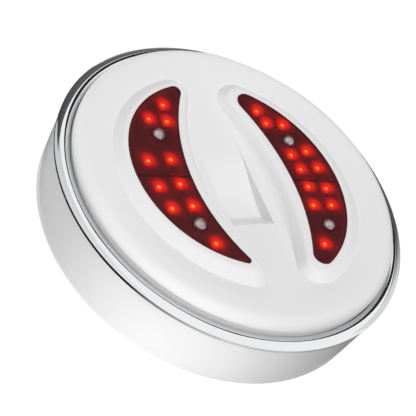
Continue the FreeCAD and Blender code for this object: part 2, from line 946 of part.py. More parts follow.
def motor_clamp():
    """Strap over the can, with a screw foot on each side."""
    middle = motor_front + motor_length / 2
    front = middle - clamp_width / 2
    back = middle + clamp_width / 2
    inner = motor_radius + seat_clearance
    reach = motor_radius + clamp_thickness + clamp_foot
    upper = block(
        motor_offset - reach, motor_offset + reach, front, back, clamp_seat(), motor_level + 2 * motor_radius)
    band = lying_cylinder(inner + clamp_thickness, front, back, motor_offset, motor_level).common(upper)
    feet = block(motor_offset - reach, motor_offset + reach, front, back, clamp_seat(), motor_level)
    gap = lying_cylinder(inner, front - overrun, back + overrun, motor_offset, motor_level)
    hole_radius = small_screw_radius + screw_clearance
    holes = [
        cylinder(hole_radius, clamp_seat() - overrun, motor_level + overrun, x, y)
        for x, y in clamp_foot_places()
    ]
    return joined([band, feet]).cut([gap] + holes)


# Battery and back cover

def battery_limits(margin, low, high):
    half_length = battery_length / 2 + margin
    half_width = battery_width / 2 + margin
    return block(
        -half_length, half_length, battery_centre - half_width, battery_centre + half_width, low, high)


def battery_floor():
    return cover_thickness + pad_thickness


def battery():
    solid = battery_limits(0, battery_floor(), battery_floor() + battery_thickness)
    half_width = battery_width / 2
    lengthwise = [
        edge for edge in solid.Edges
        if abs(edge.Vertexes[0].X - edge.Vertexes[-1].X) > half_width
    ]
    return round_edges(solid, battery_round, lengthwise)


def battery_pad():
    return battery_limits(-pad_margin, cover_thickness, battery_floor())


def battery_ribs():
    """Four corner ribs that keep the battery in place."""
    top = cover_thickness + rib_height
    low = cover_thickness - overrun
    inside = battery_limits(rib_gap, low - overrun, top + overrun)
    frame = battery_limits(rib_gap + rib_thickness, low, top).cut(inside)
    half_length = battery_length / 2 - rib_length
    half_width = battery_width / 2 - rib_length
    far = case_radius
    across = block(-half_length, half_length, -far, far, low - overrun, top + overrun)
    along = block(
        -far, far, battery_centre - half_width, battery_centre + half_width, low - overrun, top + overrun)
    return frame.cut([across, along]).Solids


def motor_cradle():
    """Two ribs with round seats under the can, and a boss under each foot of the clamp."""
    low = cover_thickness - overrun
    half = cradle_width / 2
    can_back = motor_front + motor_length - motor_cap_length
    fronts = (motor_front + cradle_end_inset, can_back - cradle_end_inset)
    seat = lying_cylinder(
        motor_radius + seat_clearance, motor_front - overrun, motor_front + motor_length + overrun,
        motor_offset, motor_level)
    ribs = [
        block(motor_offset - half, motor_offset + half, front, front + cradle_thickness,
              low, cover_thickness + cradle_rise).cut(seat)
        for front in fronts
    ]
    bosses = [cylinder(clamp_boss_radius, low, clamp_seat(), x, y) for x, y in clamp_foot_places()]
    return ribs + bosses


def back_cover():
    radius = case_inner_radius - cover_gap
    disc = spun_polygon([
        (0, 0), (radius - foot_chamfer, 0), (radius, foot_chamfer), (radius, cover_thickness),
        (0, cover_thickness)])
    low = cover_thickness - overrun
    raised = [cylinder(cover_boss_radius, low, cover_boss_height, x, y) for x, y in cover_boss_places()]
    raised += [cylinder(board_boss_radius, low, main_board_height, x, y) for x, y in board_boss_places()]
    raised += battery_ribs()
    cradle = motor_cradle()
    raised += cradle + [mirrored(solid) for solid in cradle]

    holes = []
    for x, y in cover_boss_places():
        through = cover_screw_radius + screw_clearance
        sunk = cover_head_radius + counterbore_clearance
        holes.append(cylinder(through, -overrun, cover_boss_height + overrun, x, y))
        holes.append(cylinder(sunk, -overrun, counterbore_depth, x, y))
    pilot_radius = small_screw_radius + pilot_clearance
    for x, y in board_boss_places():
        pilot_low = main_board_top - small_screw_length - pilot_clearance
        holes.append(cylinder(pilot_radius, pilot_low, main_board_height + overrun, x, y))
    for x, y in clamp_foot_places():
        pilot_low = motor_level - small_screw_length - pilot_clearance
        pilot = cylinder(pilot_radius, pilot_low, clamp_seat() + overrun, x, y)
        holes += [pilot, mirrored(pilot)]
    return disc.fuse(raised).cut(holes).removeSplitter()


def build():
    right_panels = lens_halves(right_window(), right_clear_lamp_shares, right_seam_place, right_seam_tilt)
    left_panels = lens_halves(left_window(), left_clear_lamp_shares, left_seam_place, left_seam_tilt)
    nodes = {
        "housing": housing(),
        "trim_ring": trim_ring(),
        "face_plate": face_plate(),
        "face_seal": face_seal(),
        "right_upper_lens": right_panels[0],
        "right_lower_lens": right_panels[1],
        "left_upper_lens": mirrored(left_panels[0]),
        "left_lower_lens": mirrored(left_panels[1]),
        "right_red_lamps": red_lamps(right_red_lamp_shares),
        "left_red_lamps": mirrored(red_lamps(left_red_lamp_shares)),
        "right_clear_lamps": clear_lamps(right_clear_lamp_shares),
        "left_clear_lamps": mirrored(clear_lamps(left_clear_lamp_shares)),
        "lamp_board_screws": lamp_board_screws(),
        "main_board": main_board(),
        "board_parts": board_parts(),
        "board_screws": board_screws(),
        "charging_socket": charging_socket(),
        "charge_light": turned(light_rod(0), light_angle),
        "battery": battery(),
        "battery_pad": battery_pad(),
        "back_cover": back_cover(),
        "cover_screws": cover_screws(),
        "clamp_screws": clamp_screws(),
    }
    mirror_pairs = {
        "lamp_board": lamp_board(),
        "motor": motor(),
        "shaft": motor_shaft(),
        "weight": weight(),
        "motor_clamp": motor_clamp(),
    }
    for name, shape in mirror_pairs.items():
        nodes["right_" + name] = shape
        nodes["left_" + name] = mirrored(shape)
    for name, turn in (("power", button_angle), ("mode", -button_angle)):
        nodes[name + "_button"] = turned(button(), turn)
        nodes[name + "_switch"] = turned(switch_body(), turn)
        nodes[name + "_plunger"] = turned(switch_plunger(), turn)
    return nodes


os.makedirs("parts", exist_ok=True)
for node, shape in build().items():
    shape.exportStep("parts/" + node + ".step")
    print(node, len(shape.Solids), shape.isValid(), round(shape.Volume, 1))
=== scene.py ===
# %% [markdown]
# # Eye massager
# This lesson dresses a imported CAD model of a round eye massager: a glossy white puck with a chrome
# ring, a satin face plate, and two dark red windows with lit lamps behind them. Everything is in
# metres, in the CAD frame: +Z points out of the face and +Y to the forehead.
#
# All of it could be modelled again here. The CAD shapes already have the real sizes, though, so most
# of them stay and only get a finish.

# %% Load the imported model
import json
import math

import bmesh
import bpy
from mathutils import Matrix, Vector


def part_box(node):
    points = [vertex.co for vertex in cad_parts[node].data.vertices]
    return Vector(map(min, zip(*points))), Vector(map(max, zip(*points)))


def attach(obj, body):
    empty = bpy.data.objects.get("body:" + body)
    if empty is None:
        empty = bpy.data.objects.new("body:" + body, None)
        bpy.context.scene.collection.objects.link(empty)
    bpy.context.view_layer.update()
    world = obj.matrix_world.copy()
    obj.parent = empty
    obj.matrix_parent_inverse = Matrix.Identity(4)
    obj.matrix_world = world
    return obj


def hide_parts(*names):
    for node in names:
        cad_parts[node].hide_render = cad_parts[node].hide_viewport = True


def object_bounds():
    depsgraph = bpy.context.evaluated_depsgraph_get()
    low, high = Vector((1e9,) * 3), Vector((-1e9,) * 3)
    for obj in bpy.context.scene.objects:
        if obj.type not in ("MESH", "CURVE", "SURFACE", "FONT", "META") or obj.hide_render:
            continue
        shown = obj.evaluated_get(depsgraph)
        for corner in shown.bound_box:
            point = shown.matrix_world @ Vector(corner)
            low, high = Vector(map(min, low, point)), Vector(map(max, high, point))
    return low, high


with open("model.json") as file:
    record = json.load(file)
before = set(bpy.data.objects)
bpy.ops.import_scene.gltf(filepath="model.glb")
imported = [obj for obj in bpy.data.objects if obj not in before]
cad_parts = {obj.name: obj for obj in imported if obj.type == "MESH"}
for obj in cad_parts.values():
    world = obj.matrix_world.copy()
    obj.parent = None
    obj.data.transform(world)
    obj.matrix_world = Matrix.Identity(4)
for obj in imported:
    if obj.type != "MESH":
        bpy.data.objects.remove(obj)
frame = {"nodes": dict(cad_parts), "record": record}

MM = 0.001
cad_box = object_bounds()
nodes = frame["nodes"]
print("CAD nodes:", len(nodes), "box:", [[round(v, 4) for v in corner] for corner in cad_box])

# %% [markdown]
# ## Camera
# The puck is seen from the front left, from 44 degrees above, with the camera rolled so that it leans
# in the picture. A camera could be aimed by a constraint, but a matrix built from its three axes is
# exact and also holds the roll.

# %% Camera
VIEW_AZIMUTH = math.radians(48.6)
VIEW_ELEVATION = math.radians(43.95)
VIEW_ROLL = math.radians(35.44)
VIEW_DISTANCE = 344.7 * MM
LENS = 71.39
PICTURE = 416
SHIFT_PIXELS = (-4.26, 12.80)
NEAREST_SEEN = 10 * MM

turn = Matrix.Rotation(-VIEW_AZIMUTH, 3, "Z")
back = turn @ Vector((0, -math.cos(VIEW_ELEVATION), math.sin(VIEW_ELEVATION)))
level_right = turn @ Vector((1, 0, 0))
level_up = back.cross(level_right)
camera_x = math.cos(VIEW_ROLL) * level_right + math.sin(VIEW_ROLL) * level_up
camera_y = back.cross(camera_x)
aim = Matrix((camera_x, camera_y, back)).transposed().to_4x4()

camera_data = bpy.data.cameras.new("camera")
camera_data.lens = LENS
camera_data.shift_x = SHIFT_PIXELS[0] / PICTURE
camera_data.shift_y = SHIFT_PIXELS[1] / PICTURE
camera_data.clip_start = NEAREST_SEEN
camera = bpy.data.objects.new("camera", camera_data)
camera.matrix_world = Matrix.Translation(back * VIEW_DISTANCE) @ aim
bpy.context.collection.objects.link(camera)
bpy.context.scene.camera = camera
print("camera at", [round(v, 4) for v in camera.location])

# %% [markdown]
# ## Room light
# A white product is pictured in a bright room. Where the camera, a mirror or a clear piece looks at
# the room, it is plain white. As a light it is dimmer, so that white plastic keeps its shading. One
# strength for both would wash out the dish or turn the backdrop grey, so the kind of ray chooses.

# %% Room light
AMBIENT = 0.47
SEEN = 1.0
WHITE = (1, 1, 1, 1)
LOOKING_RAYS = ("Is Camera Ray", "Is Glossy Ray", "Is Transmission Ray")


def any_of(tree, sockets):
    """One where any of the given ray kinds is one."""
    total = sockets[0]
    for socket in sockets[1:]:
        largest = tree.nodes.new("ShaderNodeMath")
        largest.operation = "MAXIMUM"
        tree.links.new(total, largest.inputs[0])
        tree.links.new(socket, largest.inputs[1])
        total = largest.outputs[0]
    return total


def seen_rays(tree):
    """One for the rays that look at a thing, nought for those that only gather its light."""
    path = tree.nodes.new("ShaderNodeLightPath")
    return any_of(tree, [path.outputs[kind] for kind in LOOKING_RAYS])


world = bpy.data.worlds.new("studio")
world.use_nodes = True
room = world.node_tree
brightness = room.nodes.new("ShaderNodeMapRange")
brightness.inputs["To Min"].default_value = AMBIENT
brightness.inputs["To Max"].default_value = SEEN
room.links.new(seen_rays(room), brightness.inputs["Value"])
room.links.new(brightness.outputs["Result"], room.nodes["Background"].inputs["Strength"])
room.nodes["Background"].inputs["Color"].default_value = WHITE
bpy.context.scene.world = world
bpy.context.scene.view_settings.view_transform = "Standard"
print("room:", AMBIENT, "as a light,", SEEN, "where it is seen")

# %% [markdown]
# ## Lamps
# A large soft lamp, high over the near side, draws the shape of the dish. Two narrow strips stand low
# and close to the wall, at the near side and at the left, because the wall looks sideways and gets
# little from above. A long strip behind the puck lights what leans away from the camera. Point lamps
# would be simpler, but their shadows are hard. The lamps stay out of reflections, which are left to
# the cards below.

# %% Lamps
def around(azimuth, elevation, distance):
    """Place at a distance from the origin, by its angles in degrees."""
    side = math.radians(azimuth)
    rise = math.radians(elevation)
    level = math.cos(rise)
    return distance * Vector((level * math.cos(side), level * math.sin(side), math.sin(rise)))


def face_middle(thing, place):
    """Puts a lamp or a card at a place, turned to the middle of the object."""
    thing.location = place
    thing.rotation_euler = (-place).to_track_quat("-Z", "Y").to_euler()


def soft_lamp(name, place, width, height, power):
    """Flat lamp that looks at the middle of the object."""
    data = bpy.data.lights.new(name, "AREA")
    data.shape = "RECTANGLE"
    data.size = width
    data.size_y = height
    data.energy = power
    lamp = bpy.data.objects.new(name, data)
    bpy.context.collection.objects.link(lamp)
    face_middle(lamp, place)
    lamp.visible_camera = False
    lamp.visible_glossy = False
    print(name, power, "W")


soft_lamp("key_lamp", around(azimuth=258, elevation=62, distance=1.0),
          width=0.6, height=0.6, power=6.2)
soft_lamp("low_lamp", around(azimuth=226, elevation=4, distance=0.123),
          width=0.13, height=0.006, power=0.0255)
soft_lamp("left_low_lamp", around(azimuth=147, elevation=10, distance=0.128),
          width=0.12, height=0.006, power=0.024)
soft_lamp("back_lamp", around(azimuth=62, elevation=5, distance=0.8),
          width=0.9, height=0.1, power=2.0)

# %% [markdown]
# ## Floor
# The puck lies on white paper. To light paper to plain white would take lamps that burn out the puck.
# So part of the paper's brightness is its own, and the rest comes from the lamps, which leaves the
# soft shadow. Reflections see the paper darker than the camera does, because it would show too bright
# in the glossy wall.

# %% Floor
FLOOR_HALF_SIDE = 6.0
PAPER_GREY = (0.35, 0.35, 0.35, 1)
PAPER_ROUGHNESS = 0.9
PAPER_SEEN = 0.75
PAPER_MIRRORED = 0.3

bm = bmesh.new()
bmesh.ops.create_grid(bm, x_segments=1, y_segments=1, size=FLOOR_HALF_SIDE)
floor_mesh = bpy.data.meshes.new("floor")
bm.to_mesh(floor_mesh)
bm.free()
floor = bpy.data.objects.new("floor", floor_mesh)
bpy.context.collection.objects.link(floor)

paper = bpy.data.materials.new("floor_paper")
paper.use_nodes = True
tree = paper.node_tree
shader = tree.nodes["Principled BSDF"]
shader.inputs["Base Color"].default_value = PAPER_GREY
shader.inputs["Roughness"].default_value = PAPER_ROUGHNESS
shader.inputs["Specular IOR Level"].default_value = 0.0
shader.inputs["Emission Color"].default_value = WHITE
path = tree.nodes.new("ShaderNodeLightPath")
mirror_rays = any_of(tree, [path.outputs["Is Glossy Ray"], path.outputs["Is Transmission Ray"]])
mirrored = tree.nodes.new("ShaderNodeMath")
mirrored.operation = "MULTIPLY"
mirrored.inputs[1].default_value = PAPER_MIRRORED
tree.links.new(mirror_rays, mirrored.inputs[0])
own_light = tree.nodes.new("ShaderNodeMath")
own_light.operation = "MULTIPLY_ADD"
own_light.inputs[1].default_value = PAPER_SEEN
tree.links.new(path.outputs["Is Camera Ray"], own_light.inputs[0])
tree.links.new(mirrored.outputs[0], own_light.inputs[2])
tree.links.new(own_light.outputs[0], shader.inputs["Emission Strength"])
floor_mesh.materials.append(paper)
print("floor:", 2 * FLOOR_HALF_SIDE, "m wide,", len(floor_mesh.polygons), "face")

# %% [markdown]
# ## Cards
# Chrome only shows what is round it, so a studio puts cards there. A real card is seen by everything.
# These are each seen by one kind of ray, so that a card for the ring doesn't shade the dish. A card of
# one grey shows where it ends, so each can be graded from one level to another along one of its axes.

# %% Graded sheets
RAY_KINDS = ("camera", "diffuse", "glossy", "transmission", "volume_scatter", "shadow")
NO_COLOUR = (0, 0, 0, 1)


def grading(name, levels, axis, reach):
    """Material that glows from one level to the other over a reach of one of the sheet's axes."""
    cloth = bpy.data.materials.new(name)
    cloth.use_nodes = True
    tree = cloth.node_tree
    shader = tree.nodes["Principled BSDF"]
    shader.inputs["Base Color"].default_value = NO_COLOUR
    shader.inputs["Specular IOR Level"].default_value = 0.0
    shader.inputs["Emission Color"].default_value = WHITE
    where = tree.nodes.new("ShaderNodeTexCoord")
    split = tree.nodes.new("ShaderNodeSeparateXYZ")
    across = tree.nodes.new("ShaderNodeMapRange")
    across.inputs["From Min"].default_value = reach[0]
    across.inputs["From Max"].default_value = reach[1]
    across.inputs["To Min"].default_value = levels[0]
    across.inputs["To Max"].default_value = levels[1]
    tree.links.new(where.outputs["Object"], split.inputs["Vector"])
    tree.links.new(split.outputs[axis], across.inputs["Value"])
    tree.links.new(across.outputs["Result"], shader.inputs["Emission Strength"])
    return cloth


def graded_sheet(name, bm, levels, axis, reach, seen_by):
    """Sheet that one kind of ray sees, outside the object."""
    mesh = bpy.data.meshes.new(name)
    bm.to_mesh(mesh)
    bm.free()
    mesh.materials.append(grading(name, levels, axis, reach))
    sheet = bpy.data.objects.new(name, mesh)
    bpy.context.collection.objects.link(sheet)
    for kind in RAY_KINDS:
        setattr(sheet, "visible_" + kind, kind == seen_by)
    print("card:", name, "seen by", seen_by, "rays")
    return sheet


print("kinds of rays:", ", ".join(RAY_KINDS))

# %% [markdown]
# ## Standing cards
# A black card stands where a level mirror would show it to the camera, which also keeps the white room
# out of the red windows. A dark and a light one follow it round the left, and one on the right turns
# from light to dark. Painting these bands on the ring would be easier, but they would stay in place
# when the view changes. The last card is for diffuse rays: it takes light from the right end of the
# wall, as a black flag does.

# %% Standing cards
UNIT_HALF_SIDE = 0.5
BLACK = (0.02, 0.02)


def card(name, place, width, height, levels, reach=None, seen_by="glossy"):
    """Card that stands and faces the middle, graded towards growing azimuth."""
    bm = bmesh.new()
    bmesh.ops.create_grid(bm, x_segments=1, y_segments=1, size=UNIT_HALF_SIDE)
    bmesh.ops.scale(bm, vec=(width, height, 1), verts=bm.verts)
    whole = (-width / 2, width / 2)
    sheet = graded_sheet(name, bm, levels, "X", reach or whole, seen_by)
    face_middle(sheet, place)


card("level_card", around(azimuth=42, elevation=45, distance=1.0),
     width=0.34, height=0.46, levels=BLACK)
card("left_card", around(azimuth=84, elevation=20, distance=1.1),
     width=1.1, height=0.9, levels=(0.16, 0.06))
card("near_left_card", around(azimuth=158, elevation=30, distance=1.2),
     width=2.9, height=1.9, levels=(0.6, 1.0))
card("right_card", around(azimuth=4, elevation=18, distance=0.18),
     width=0.28, height=0.13, levels=(0.78, 0.1), reach=(-55 * MM, -5 * MM))
card("right_flag", around(azimuth=304, elevation=3, distance=0.125),
     width=0.26, height=0.2, levels=BLACK, seen_by="diffuse")

# %% [markdown]
# ## Cards on the floor
# Two more cards lie round the foot of the wall, where the ring's lowest edge and the wall mirror them.
# They give the ring its thin black edge and darken the right end of the wall. A straight card would
# leave gaps beside a round wall, so an edge is spun part of the way round. Each gets lighter towards
# the near side, or its end would show as a line there.

# %% Cards on the floor
FLOOR_CARD_INNER = 76 * MM
FLOOR_CARD_LIFT = Vector((0, 0, 0.2 * MM))
FLOOR_CARD_STEPS = 48
UPRIGHT = (0, 0, 1)


def floor_card(name, outer, start, sweep, levels, axis, reach):
    """Part of a ring that lies on the floor round the object, for reflections."""
    bm = bmesh.new()
    places = [around(start, 0, radius) + FLOOR_CARD_LIFT for radius in (FLOOR_CARD_INNER, outer)]
    ends = [bmesh.ops.create_vert(bm, co=place)["vert"][0] for place in places]
    edge = bm.edges.new(ends)
    bmesh.ops.spin(bm, geom=ends + [edge], cent=(0, 0, 0), axis=UPRIGHT, angle=math.radians(sweep),
                   steps=FLOOR_CARD_STEPS)
    graded_sheet(name, bm, levels, axis, reach, "glossy")


floor_card("left_floor_card", outer=115 * MM, start=110, sweep=137,
           levels=(0.6, 0.02), axis="Y", reach=(-85 * MM, -50 * MM))
floor_card("right_floor_card", outer=125 * MM, start=-100, sweep=115,
           levels=(0.6, 0.05), axis="X", reach=(0, 55 * MM))

# %% [markdown]
# ## Finishes
# No real surface is one flat colour. Each finish here is a small node tree on Object coordinates: a
# colour that drifts a little between two close tones, a roughness that drifts with it, and a fine
# bump. Painted pictures could do the same, but they need unwrapped surfaces. Values that are the same
# all over are set on the shader itself.

# %% Finish helpers
NOISE_MIDDLE = (0.3, 0.7)
DRIFT_DETAIL = 2.0
GRAIN_DETAIL = 3.0
GRAIN_DEPTH = 0.05 * MM


def noise(tree, scale, detail):
    """Noise from nought to one over the piece."""
    place = tree.nodes.new("ShaderNodeTexCoord")
    texture = tree.nodes.new("ShaderNodeTexNoise")
    texture.inputs["Scale"].default_value = scale
    texture.inputs["Detail"].default_value = detail
    tree.links.new(place.outputs["Object"], texture.inputs["Vector"])
    return texture.outputs["Fac"]


def between(tree, factor, low, high):
    """The middle part of a factor, spread from one value to another."""
    spread = tree.nodes.new("ShaderNodeMapRange")
    spread.inputs["From Min"].default_value = NOISE_MIDDLE[0]
    spread.inputs["From Max"].default_value = NOISE_MIDDLE[1]
    spread.inputs["To Min"].default_value = low
    spread.inputs["To Max"].default_value = high
    tree.links.new(factor, spread.inputs["Value"])
    return spread.outputs["Result"]


def tones(tree, factor, dark, light):
    """Colour between two tones."""
    mix = tree.nodes.new("ShaderNodeMix")
    mix.data_type = "RGBA"
    mix.inputs["A"].default_value = (*dark, 1)
    mix.inputs["B"].default_value = (*light, 1)
    tree.links.new(factor, mix.inputs["Factor"])
    return mix.outputs["Result"]


def finish(name, dark, light, drift, rough, grain, bump, fixed=None):
    """Material whose colour and roughness drift over the piece, with a fine grain in its surface.

    Drift and grain are the scales of the slow and the fine noise; fixed holds values for the shader.
    """
    material = bpy.data.materials.new(name)
    material.use_nodes = True
    tree = material.node_tree
    shader = tree.nodes["Principled BSDF"]
    slow = noise(tree, drift, DRIFT_DETAIL)
    tree.links.new(tones(tree, slow, dark, light), shader.inputs["Base Color"])
    tree.links.new(between(tree, slow, rough[0], rough[1]), shader.inputs["Roughness"])
    surface = tree.nodes.new("ShaderNodeBump")
    surface.inputs["Strength"].default_value = bump
    surface.inputs["Distance"].default_value = GRAIN_DEPTH
    tree.links.new(noise(tree, grain, GRAIN_DETAIL), surface.inputs["Height"])
    tree.links.new(surface.outputs["Normal"], shader.inputs["Normal"])
    for socket, value in (fixed or {}).items():
        shader.inputs[socket].default_value = value
    return material


print("grain depth:", round(GRAIN_DEPTH / MM, 3), "mm")

# %% [markdown]
# ## Plastics
# The wall and the back are moulded with a polished face, the face plate with a fine satin one that
# doesn't glare near the eyes, and the buttons in a light grey. They could share one material with a
# different roughness. But the grain of satin plastic is finer than the slow waves of a polished wall,
# so each has its own.

# %% Plastics
finishes = {}


def add_finish(name, **look):
    """Makes a finish and keeps it under its slot's name."""
    finishes[name] = finish(name, **look)
    print("finish:", name)


def grey(level):
    """Colour without a tint."""
    return (level, level, level)


add_finish("white_gloss", dark=grey(0.80), light=grey(0.83), drift=18,
           rough=(0.10, 0.16), grain=900, bump=0.02)
add_finish("white_satin", dark=grey(0.80), light=grey(0.83), drift=25,
           rough=(0.30, 0.38), grain=2500, bump=0.06)
add_finish("button_grey", dark=(0.44, 0.45, 0.47), light=(0.50, 0.51, 0.53), drift=120,
           rough=(0.15, 0.25), grain=1800, bump=0.05)

# %% [markdown]
# ## Metals
# The ring is plated bright, so its roughness is close to nought and the cards do the rest. The metals
# inside are plainer: zinc on the screws, drawn sheet on the motors and the socket, pressed powder on
# the brass weights and creased foil on the battery. One steel for all would do behind a closed cover,
# but each is seen when the case is taken apart, so each has its own tone and grain.

# %% Metals
METAL = {"Metallic": 1.0}

add_finish("chrome", dark=(0.80, 0.81, 0.82), light=(0.86, 0.87, 0.88), drift=30,
           rough=(0.03, 0.06), grain=600, bump=0.01, fixed=METAL)
add_finish("screw_steel", dark=(0.42, 0.42, 0.43), light=(0.6, 0.6, 0.61), drift=500,
           rough=(0.25, 0.4), grain=3000, bump=0.1, fixed=METAL)
add_finish("socket_steel", dark=(0.5, 0.5, 0.51), light=(0.68, 0.68, 0.69), drift=400,
           rough=(0.2, 0.32), grain=3000, bump=0.1, fixed=METAL)
add_finish("motor_steel", dark=(0.5, 0.5, 0.51), light=(0.66, 0.66, 0.67), drift=250,
           rough=(0.22, 0.35), grain=2500, bump=0.1, fixed=METAL)
add_finish("weight_brass", dark=(0.55, 0.40, 0.18), light=(0.70, 0.54, 0.27), drift=350,
           rough=(0.3, 0.45), grain=3500, bump=0.3, fixed=METAL)
add_finish("battery_foil", dark=(0.55, 0.56, 0.57), light=(0.72, 0.73, 0.74), drift=120,
           rough=(0.25, 0.45), grain=700, bump=0.4, fixed=METAL)

# %% [markdown]
# ## Boards, rubber and foam
# The boards carry a green lacquer and black moulded chips. The seal is soft grey rubber, and the
# battery's pad is foam. The cells of foam could be modelled, but they are too small to see. All four
# are dull, so their look is in the bump: strongest on the foam and weak on the lacquer.

# %% Boards, rubber and foam
add_finish("circuit_board", dark=(0.01, 0.05, 0.03), light=(0.02, 0.09, 0.05), drift=200,
           rough=(0.35, 0.5), grain=1500, bump=0.1)
add_finish("chip", dark=(0.015, 0.015, 0.017), light=(0.03, 0.03, 0.032), drift=300,
           rough=(0.45, 0.6), grain=4000, bump=0.2)
add_finish("seal_rubber", dark=grey(0.42), light=grey(0.5), drift=150,
           rough=(0.55, 0.7), grain=2000, bump=0.2)
add_finish("pad_foam", dark=grey(0.012), light=grey(0.03), drift=900,
           rough=(0.8, 0.95), grain=2500, bump=0.6)

# %% [markdown]
# ## Where the lamps are
# The glow of a window follows the lamps behind it. Their places could be typed in again, but then they
# would stay behind when the model changes. So they are read from the CAD nodes: a node holds several
# lamps, and each lamp is an island of joined points in its mesh. The search works on a merged copy and
# leaves the node alone.

# %% Where the lamps are
MERGE_DISTANCE = 0.01 * MM
SIDES = ("left", "right")


def separate_lamps(node):
    """Centre and crown of each lamp of a node, from the islands of its merged mesh."""
    bm = bmesh.new()
    bm.from_mesh(nodes[node].data)
    bmesh.ops.remove_doubles(bm, verts=bm.verts, dist=MERGE_DISTANCE)
    waiting = set(bm.verts)
    places = []
    while waiting:
        island = {waiting.pop()}
        border = list(island)
        while border:
            vert = border.pop()
            for link in vert.link_edges:
                other = link.other_vert(vert)
                if other in waiting:
                    waiting.remove(other)
                    island.add(other)
                    border.append(other)
        xs = [v.co.x for v in island]
        ys = [v.co.y for v in island]
        crown = max(v.co.z for v in island)
        places.append(Vector(((min(xs) + max(xs)) / 2, (min(ys) + max(ys)) / 2, crown)))
    bm.free()
    return sorted(places, key=lambda place: (place.y, place.x))


red_places = {side: separate_lamps(side + "_red_lamps") for side in SIDES}
clear_places = {side: separate_lamps(side + "_clear_lamps") for side in SIDES}
for side in SIDES:
    print(side, "lamps:", len(red_places[side]), "red,", len(clear_places[side]), "clear")

# %% [markdown]
# ## Glow
# A glow is full near a lamp and fades with distance. Light in a haze could be traced, which is slow
# and noisy. Here the distance to the nearest lamp is worked out for each point of a surface and turned
# into a strength: on a lamp this is its own light, on a window it is painted glow. Two fades are added,
# one small and strong and one wide and weak, because one alone has too plain an edge.

# %% Glow helpers
def combined(tree, operation, first, second):
    """Result of one calculation on two sockets."""
    step = tree.nodes.new("ShaderNodeMath")
    step.operation = operation
    tree.links.new(first, step.inputs[0])
    tree.links.new(second, step.inputs[1])
    return step.outputs[0]


def nearest_lamp(tree, places, axes):
    """Distance to the closest lamp's crown, along the given axes only."""
    place = tree.nodes.new("ShaderNodeTexCoord")
    plan = tree.nodes.new("ShaderNodeVectorMath")
    plan.operation = "MULTIPLY"
    plan.inputs[1].default_value = axes
    tree.links.new(place.outputs["Object"], plan.inputs[0])
    nearest = None
    for spot in places:
        distance = tree.nodes.new("ShaderNodeVectorMath")
        distance.operation = "DISTANCE"
        distance.inputs[1].default_value = spot * Vector(axes)
        tree.links.new(plan.outputs["Vector"], distance.inputs[0])
        if nearest is None:
            nearest = distance.outputs["Value"]
        else:
            nearest = combined(tree, "MINIMUM", nearest, distance.outputs["Value"])
    return nearest


def fading(tree, distance, core, reach, strength):
    """A level that is full up to the core and fades to nothing at the reach."""
    fade = tree.nodes.new("ShaderNodeMapRange")
    fade.interpolation_type = "SMOOTHSTEP"
    fade.inputs["From Min"].default_value = core
    fade.inputs["From Max"].default_value = reach
    fade.inputs["To Min"].default_value = strength
    fade.inputs["To Max"].default_value = 0.0
    tree.links.new(distance, fade.inputs["Value"])
    return fade.outputs["Result"]


def glow(tree, distance, small, wide):
    """Sum of two fades, each given by its core, reach and strength."""
    return combined(tree, "ADD", fading(tree, distance, *small), fading(tree, distance, *wide))


print("lamps that glow:", sum(len(places) for places in red_places.values()))

# %% [markdown]
# ## Faces of a window
# A window is a thin bent panel with two broad faces and cut edges. Its faces could be given materials
# one by one, but a CAD node's mesh is left as it is. So the material finds them by itself: a broad face
# looks up or down, and the underside lies outside the bowl that the upper faces of all panels follow.

# %% Faces of a window
BOWL_RADIUS = 376 * MM
BOWL_BOTTOM = 28.3 * MM
BOWL_CENTRE = (0, 0, BOWL_BOTTOM + BOWL_RADIUS)
HALF_PANEL = 0.8 * MM
BROAD_FACE = 0.7


def above(tree, value, limit):
    """One where a value is over a limit, nought elsewhere."""
    step = tree.nodes.new("ShaderNodeMath")
    step.operation = "GREATER_THAN"
    step.inputs[1].default_value = limit
    tree.links.new(value, step.inputs[0])
    return step.outputs[0]


def broad_faces(tree):
    """One on the broad faces of a window, nought on its edges."""
    place = tree.nodes.new("ShaderNodeNewGeometry")
    split = tree.nodes.new("ShaderNodeSeparateXYZ")
    tree.links.new(place.outputs["True Normal"], split.inputs["Vector"])
    size = tree.nodes.new("ShaderNodeMath")
    size.operation = "ABSOLUTE"
    tree.links.new(split.outputs["Z"], size.inputs[0])
    return above(tree, size.outputs[0], BROAD_FACE)


def underside(tree):
    """One on the lower half of a window's thickness, which faces the lamps."""
    place = tree.nodes.new("ShaderNodeTexCoord")
    distance = tree.nodes.new("ShaderNodeVectorMath")
    distance.operation = "DISTANCE"
    distance.inputs[1].default_value = BOWL_CENTRE
    tree.links.new(place.outputs["Object"], distance.inputs[0])
    return above(tree, distance.outputs["Value"], BOWL_RADIUS + HALF_PANEL)


print("centre of the bowl:", [round(v, 4) for v in BOWL_CENTRE])

# %% [markdown]
# ## Windows
# The windows are dark red see-through plastic with a little haze in it: most light passes, tinted. The
# glow round each lamp is painted light, an emission that stands for the lamps' light scattered in the
# haze. A real haze fills the panel. Here the painted glow is put on the underside alone, so that it is
# seen through the tint. The edges let nothing through and are nearly black, or the seam between two
# panels would shine like a red wire.

# %% Window finish
WINDOW_CLEARNESS = 0.8
WINDOW_EDGE = (0.02, 0.004, 0.005, 1)
WINDOW_FIXED = {"IOR": 1.46, "Emission Color": (1.0, 0.01, 0.005, 1)}
# Core, reach and strength of the painted glow, an emission that stands for lamp light in the haze.
SMALL_PAINTED_GLOW = (0.4 * MM, 4.2 * MM, 1.9)
WIDE_PAINTED_GLOW = (1.0 * MM, 7.0 * MM, 0.3)
SEEN_FROM_ABOVE = (1, 1, 0)


